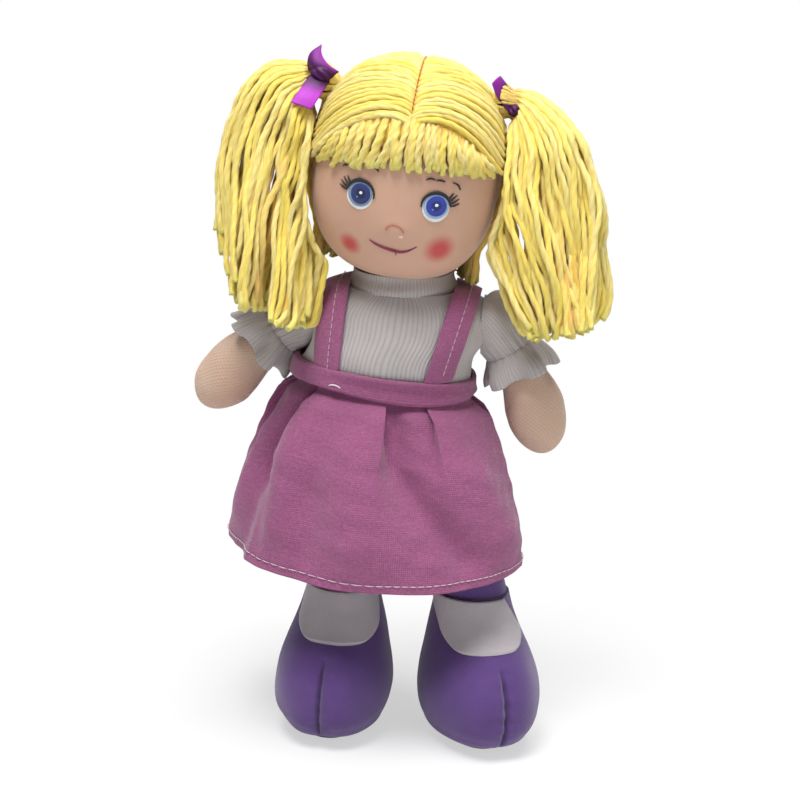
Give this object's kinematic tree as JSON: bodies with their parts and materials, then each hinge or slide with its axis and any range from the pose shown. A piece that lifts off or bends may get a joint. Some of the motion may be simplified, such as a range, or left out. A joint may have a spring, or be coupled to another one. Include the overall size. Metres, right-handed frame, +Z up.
{
  "type": "rag doll",
  "caption": "Soft cloth doll with tied yarn hair, embroidered face, rib-knit shirt, pleated strap skirt, mitten arms and soft purple shoes.",
  "frame": {"origin": "middle of the doll's plan, on the floor under the soles", "axes": "+Z up along the doll's height, the face looks along -Y, the doll's left hand is at +X"},
  "size_m": [0.2274, 0.1202, 0.3774],
  "materials": {
    "face_satin": "smooth, faintly glossy woven face cloth",
    "body_fabric": "matte woven body cloth",
    "arm_knit": "matte fine knit",
    "yarn": "matte twisted yarn, one solid standing for the strands",
    "ribbon_satin": "glossy satin ribbon",
    "shirt_knit": "matte rib knit",
    "linen": "matte linen-like plain weave",
    "purple_fabric": "soft short-napped fabric",
    "sole_fabric": "soft short-napped fabric",
    "eye_thread": "satin-stitch embroidery",
    "nose_thread": "embroidery thread",
    "mouth_thread": "embroidery thread",
    "stitch_thread": "sewing thread"
  },
  "bodies": {
    "torso": {"torso": "body_fabric", "shirt": "shirt_knit", "collar": "shirt_knit", "waistband": "linen", "skirt": "linen", "strap_left": "linen", "strap_right": "linen"},
    "neck": {"neck": "body_fabric"},
    "head": {"head": "face_satin", "hair_cap": "yarn", "parting_stitch": "stitch_thread", "fringe": "yarn", "ribbon_left": "ribbon_satin", "ribbon_right": "ribbon_satin", "eye_left": "eye_thread", "eye_right": "eye_thread", "nose": "nose_thread", "mouth": "mouth_thread"},
    "pigtail_left": {"pigtail_left": "yarn"},
    "pigtail_right": {"pigtail_right": "yarn"},
    "shoulder_left": {"sleeve_left": "shirt_knit", "sleeve_ruffle_left": "shirt_knit"},
    "shoulder_right": {"sleeve_right": "shirt_knit", "sleeve_ruffle_right": "shirt_knit"},
    "arm_left": {"arm_left": "arm_knit"},
    "arm_right": {"arm_right": "arm_knit"},
    "hips": {"hip_seam": "purple_fabric"},
    "leg_left": {"leg_left": "purple_fabric", "instep_left": "shirt_knit", "shoe_left": "purple_fabric", "sole_left": "sole_fabric"},
    "leg_right": {"leg_right": "purple_fabric", "instep_right": "shirt_knit", "shoe_right": "purple_fabric", "sole_right": "sole_fabric"}
  },
  "joints": [
    {"name": "neck_turn", "type": "hinge", "parent": "torso", "child": "neck", "pos_m": [0.00059, 0.00683, 0.251], "axis": [0, 0, 1], "range_deg": [-20, 20]},
    {"name": "head_nod", "type": "hinge", "parent": "neck", "child": "head", "pos_m": [0.00059, 0.00683, 0.268], "axis": [1, 0, 0], "range_deg": [-12, 12], "deforming": ["collar"]},
    {"name": "pigtail_swing_left", "type": "hinge", "parent": "head", "child": "pigtail_left", "pos_m": [0.0559, -0.00417, 0.36097], "axis": [0, -1, 0], "range_deg": [0, 50], "deforming": ["pigtail_left"]},
    {"name": "pigtail_swing_right", "type": "hinge", "parent": "head", "child": "pigtail_right", "pos_m": [-0.05263, -0.00417, 0.36734], "axis": [0, 1, 0], "range_deg": [0, 50], "deforming": ["pigtail_right"]},
    {"name": "shoulder_swing_left", "type": "hinge", "parent": "torso", "child": "shoulder_left", "pos_m": [0.04709, 0.00683, 0.24], "axis": [-1, 0, 0], "range_deg": [-35, 60]},
    {"name": "shoulder_swing_right", "type": "hinge", "parent": "torso", "child": "shoulder_right", "pos_m": [-0.04591, 0.00683, 0.236], "axis": [-1, 0, 0], "range_deg": [-35, 60]},
    {"name": "arm_lift_left", "type": "hinge", "parent": "shoulder_left", "child": "arm_left", "pos_m": [0.04709, 0.00683, 0.24], "axis": [0, -1, 0], "range_deg": [-4, 60], "deforming": ["sleeve_left", "sleeve_ruffle_left"]},
    {"name": "arm_lift_right", "type": "hinge", "parent": "shoulder_right", "child": "arm_right", "pos_m": [-0.04591, 0.00683, 0.236], "axis": [0, 1, 0], "range_deg": [-8, 45], "deforming": ["sleeve_right", "sleeve_ruffle_right"]},
    {"name": "sit_fold", "type": "hinge", "parent": "torso", "child": "hips", "pos_m": [0.00059, 0.00683, 0.173], "axis": [-1, 0, 0], "range_deg": [-15, 80], "deforming": ["skirt"]},
    {"name": "leg_swing_left", "type": "hinge", "parent": "hips", "child": "leg_left", "pos_m": [0.00059, 0.00683, 0.173], "axis": [-1, 0, 0], "range_deg": [-12, 12]},
    {"name": "leg_swing_right", "type": "hinge", "parent": "hips", "child": "leg_right", "pos_m": [0.00059, 0.00683, 0.173], "axis": [-1, 0, 0], "range_deg": [-12, 12]}
  ]
}
